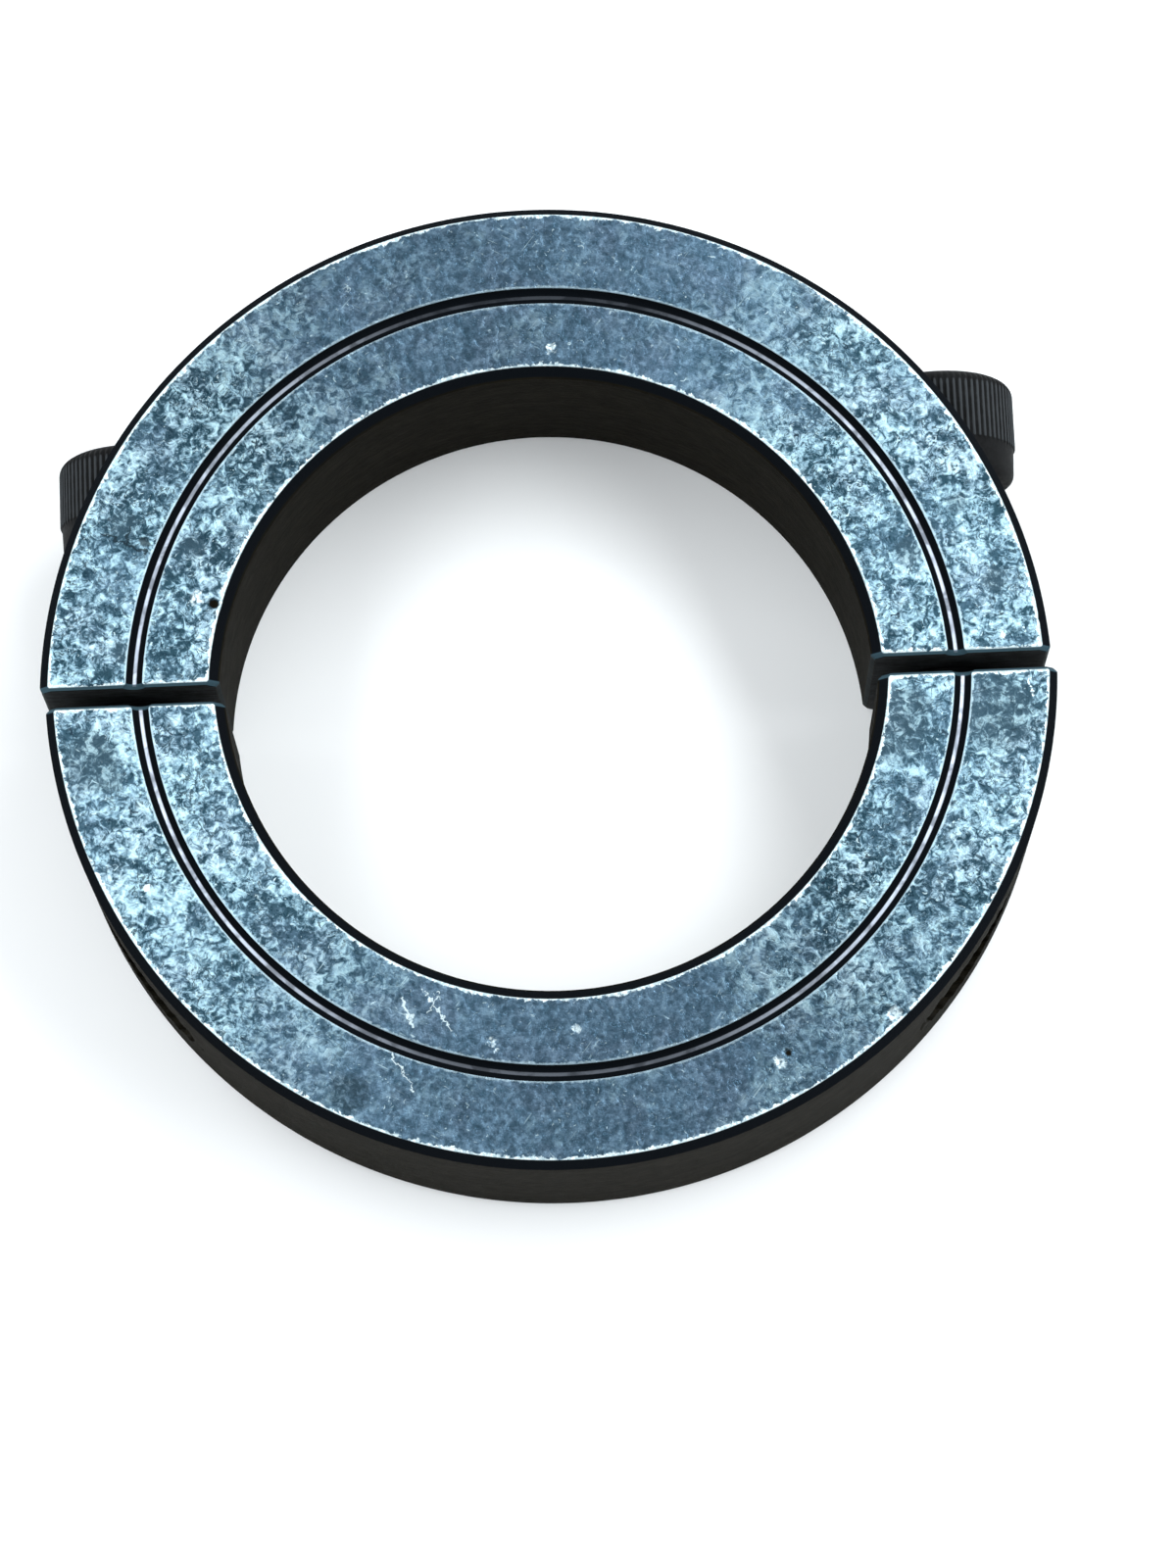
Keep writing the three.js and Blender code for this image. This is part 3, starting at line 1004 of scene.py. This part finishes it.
def collar_steel(name, centre, direction):
    """Black oxide steel whose two flat faces are worn to mottled bluish metal, with painted
    reflections on the faces, rims, groove bottom and split break, and painted shade on the
    chamfers and groove walls.
    """
    g = Graph(name)
    at = HalfPlace(g, centre, direction)
    wear = Wear(g, at)
    rim_wear_and_highlight = rim_wear_and_highlight_mask(g, at, wear)
    groove_highlight = groove_highlight_line(g, at, wear)
    oxide = black_oxide(g, at, wear, groove_highlight)
    g.feed(g.shader.inputs["Base Color"], g.mix(at.face, oxide, face_metal(g, at, wear, rim_wear_and_highlight)))

    metallic = g.highest(g.times(at.face, 0.9), g.times(groove_highlight, 0.8))
    g.feed(g.shader.inputs["Metallic"], g.less(metallic, g.times(rim_wear_and_highlight, at.face, 0.45)))
    rough_face = g.step(wear.pattern, 0.38, 0.62, 0.34, 0.50)
    rough_wall = g.step(wear.spots, 0.3, 0.7, 0.92, 0.76)
    rough_wall = g.less(rough_wall, g.times(groove_highlight, 0.42))
    rough_wall = g.times(g.less(1.0, at.face), rough_wall)
    g.feed(g.shader.inputs["Roughness"], g.line(at.face, rough_face, rough_wall))
    g.shader.inputs["Specular IOR Level"].default_value = 0.04

    # Grain turned round the axis, under the pitting of the wear.
    swept = g.join(g.times(at.radius, 9.0), g.times(at.angle, 3.0), g.times(at.z, 9.0))
    grain = g.times(g.noise(swept, 1.0, 3, 0.6), 0.25)
    height = g.less(g.line(wear.pattern, 0.7, grain), g.times(wear.pits, 0.3))
    g.feed(g.shader.inputs["Normal"], g.bump(height, COLLAR_BUMP, 0.8))

    # The turned grain spreads reflections outward from the half's own axis.
    g.shader.inputs["Anisotropic"].default_value = 0.82
    outward = g.nodes.new("ShaderNodeVectorTransform")
    outward.vector_type = "VECTOR"
    outward.convert_from = "OBJECT"
    outward.convert_to = "WORLD"
    g.feed(outward.inputs[0], g.join(at.dx, at.dy, 0.0))
    g.feed(g.shader.inputs["Tangent"], outward.outputs[0])
    return g.material


def screw_steel(name, place):
    """Black oxide alloy steel whose knurl crests are paler, from rubbing and a painted
    highlight.
    """
    g = Graph(name)
    x, _, z = g.split(g.place)
    radius = g.length(g.less(x, place[0]), g.less(z, place[2]))
    spots = g.noise(g.place, 1.4, 4, 0.6)
    base = g.mix(g.step(spots, 0.35, 0.7), SCREW_DARK, SCREW_PALE)
    # Paler crests: rubbing plus a painted highlight.
    crest = g.step(g.line(spots, 0.06, radius), *CREST_RADII)
    base = g.mix(g.times(crest, 0.6), base, KNURL_RUB_AND_HIGHLIGHT)
    g.feed(g.shader.inputs["Base Color"], base)
    g.shader.inputs["Specular IOR Level"].default_value = 0.07
    g.feed(g.shader.inputs["Roughness"], g.step(spots, 0.3, 0.7, 0.55, 0.75))
    texture = g.noise(g.place, 6.0, 3, 0.6)
    g.feed(g.shader.inputs["Normal"], g.bump(texture, SCREW_BUMP, 0.6))
    return g.material


# --- Stage ----------------------------------------------------------------------------

# The camera that was fitted to the photo: lens and sensor width in millimetres, angles
# in degrees, and the point it looks at and its distance from there in millimetres
LENS = 131.95
SENSOR_WIDTH = 36
CAMERA_ELEVATION = 77.005
CAMERA_AZIMUTH = 0.59
CAMERA_ROLL = -1.824
CAMERA_AIM = (2.66, -6.26, WIDTH / 2)
CAMERA_DISTANCE = 438.6

# The sky's strength goes from its horizon value at the lower of two heights on the unit
# sphere to its overhead value at the upper one.
SKY_COLOUR = (0.94, 0.97, 1.0, 1)
SKY_HEIGHTS = (0.35, 0.92)
SKY_STRENGTHS = (1.15, 0.38)

# Two soft boxes aimed at the origin: name, azimuth in degrees and power in watts
SOFTBOXES = [
    ("right_softbox", 21, 10.0),
    ("left_softbox", 172, 6.6),
]
SOFTBOX_ELEVATION = 54
SOFTBOX_DISTANCE = 0.9
SOFTBOX_SIZE = (1.2, 0.3)
SOFTBOX_COLOUR = (0.93, 0.98, 1.0)


def make_camera():
    data = bpy.data.cameras.new("camera")
    data.lens = LENS
    data.sensor_width = SENSOR_WIDTH
    data.clip_start = 0.01
    camera = bpy.data.objects.new("camera", data)
    bpy.context.scene.collection.objects.link(camera)
    elevation, azimuth = math.radians(CAMERA_ELEVATION), math.radians(CAMERA_AZIMUTH)
    forward = Vector((
        math.sin(azimuth) * math.cos(elevation),
        math.cos(azimuth) * math.cos(elevation),
        -math.sin(elevation),
    ))
    roll = Matrix.Rotation(math.radians(CAMERA_ROLL), 4, "Z")
    turn = forward.to_track_quat("-Z", "Y").to_matrix().to_4x4() @ roll
    aim = Vector(CAMERA_AIM) * MM
    camera.matrix_world = Matrix.Translation(aim - forward * CAMERA_DISTANCE * MM) @ turn
    bpy.context.scene.camera = camera


def make_floor():
    """A pale floor just under the collar."""
    bpy.ops.mesh.primitive_plane_add(size=3)
    floor = bpy.context.object
    floor.name = "floor"
    floor.location.z = -0.0001
    material = bpy.data.materials.new("floor")
    material.use_nodes = True
    shader = material.node_tree.nodes["Principled BSDF"]
    shader.inputs["Base Color"].default_value = (0.92, 0.92, 0.92, 1)
    shader.inputs["Roughness"].default_value = 0.9
    floor.data.materials.append(material)


def make_softbox(name, azimuth, power):
    data = bpy.data.lights.new(name, "AREA")
    data.shape = "RECTANGLE"
    data.size, data.size_y = SOFTBOX_SIZE
    data.energy = power
    data.color = SOFTBOX_COLOUR
    light = bpy.data.objects.new(name, data)
    bpy.context.scene.collection.objects.link(light)
    azimuth, elevation = math.radians(azimuth), math.radians(SOFTBOX_ELEVATION)
    direction = Vector((
        math.cos(azimuth) * math.cos(elevation),
        math.sin(azimuth) * math.cos(elevation),
        math.sin(elevation),
    ))
    light.location = direction * SOFTBOX_DISTANCE
    light.rotation_euler = (-direction).to_track_quat("-Z", "Y").to_euler()


def make_sky():
    """A pale sky, dimmer overhead."""
    world = bpy.data.worlds.new("studio")
    world.use_nodes = True
    nodes, links = world.node_tree.nodes, world.node_tree.links
    sky = nodes.new("ShaderNodeTexCoord").outputs["Generated"]
    split = nodes.new("ShaderNodeSeparateXYZ")
    links.new(sky, split.inputs[0])
    fade = nodes.new("ShaderNodeMapRange")
    links.new(split.outputs["Z"], fade.inputs["Value"])
    names = ("From Min", "From Max", "To Min", "To Max")
    for name, value in zip(names, (*SKY_HEIGHTS, *SKY_STRENGTHS)):
        fade.inputs[name].default_value = value
    background = nodes["Background"]
    background.inputs["Color"].default_value = SKY_COLOUR
    links.new(fade.outputs["Result"], background.inputs["Strength"])
    bpy.context.scene.world = world


# --- Assembly -------------------------------------------------------------------------

make_camera()
make_floor()
make_sky()
for softbox in SOFTBOXES:
    make_softbox(*softbox)

for make, node, body, direction in (
    (make_clearance_half, "clearance_half", "clearance_body", 1),
    (make_tapped_half, "tapped_half", "tapped_body", -1),
):
    half, centre = make()
    half.data.materials.append(collar_steel(node + "_finish", centre, direction))
    shade(half)
    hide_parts(node)
    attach(half, body)

for side, turns_out in (("left", 0), ("right", RIGHT_SCREW_TURNS_OUT)):
    place = (SCREW_XS[side], SEAT_Y + SEAT_CLEARANCE + turns_out * PITCH, WIDTH / 2)
    screw = make_screw(side, place)
    screw.data.materials.append(screw_steel(side + "_screw_finish", place))
    shade(screw, 40)
    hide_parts(side + "_screw")
    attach(screw, side + "_screw_body")

bpy.context.scene.view_settings.view_transform = "Standard"
